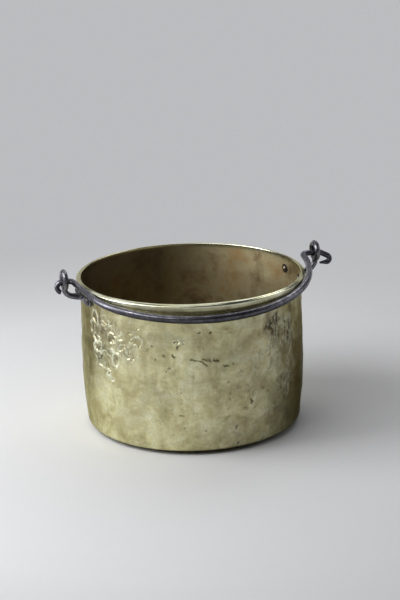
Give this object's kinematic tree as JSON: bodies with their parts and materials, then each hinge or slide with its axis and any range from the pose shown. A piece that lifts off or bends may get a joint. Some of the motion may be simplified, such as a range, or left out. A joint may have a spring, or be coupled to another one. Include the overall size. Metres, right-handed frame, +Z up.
{
  "type": "log basket",
  "caption": "Round brass pot with a rolled rim and a forged iron bail that swings in riveted eye lugs, kept by the hearth to hold logs.",
  "frame": {"origin": "on the floor, at the middle of the pot's flat base", "axes": "+Z up, +X along the bail's pivots to the lug with the longer hook, -Y to the side where the bail lies down"},
  "size_m": [0.4666, 0.3837, 0.279],
  "materials": {
    "brass": "old polished brass with dents, browned inside",
    "hoop_iron": "bare iron, hidden in the roll",
    "forged_iron": "forged, waxed black",
    "bail_iron": "forged, rubbed smooth at the grip",
    "rivet_iron": "hammered, dull"
  },
  "bodies": {
    "pot": {"brass_body": "brass", "rim_hoop": "hoop_iron", "lug_left": "forged_iron", "lug_right": "forged_iron", "rivet_right_front": "rivet_iron", "rivet_right_back": "rivet_iron", "rivet_left_front": "rivet_iron", "rivet_left_back": "rivet_iron", "rove_right_front": "rivet_iron", "rove_right_back": "rivet_iron", "rove_left_front": "rivet_iron", "rove_left_back": "rivet_iron"},
    "bail": {"bail_handle": "bail_iron"}
  },
  "joints": [
    {"name": "bail_swing", "type": "hinge", "parent": "pot", "child": "bail", "pos_m": [0, 0, 0.25616], "axis": [-0.9999, 0, -0.013], "range_deg": [0, 196.8]}
  ]
}
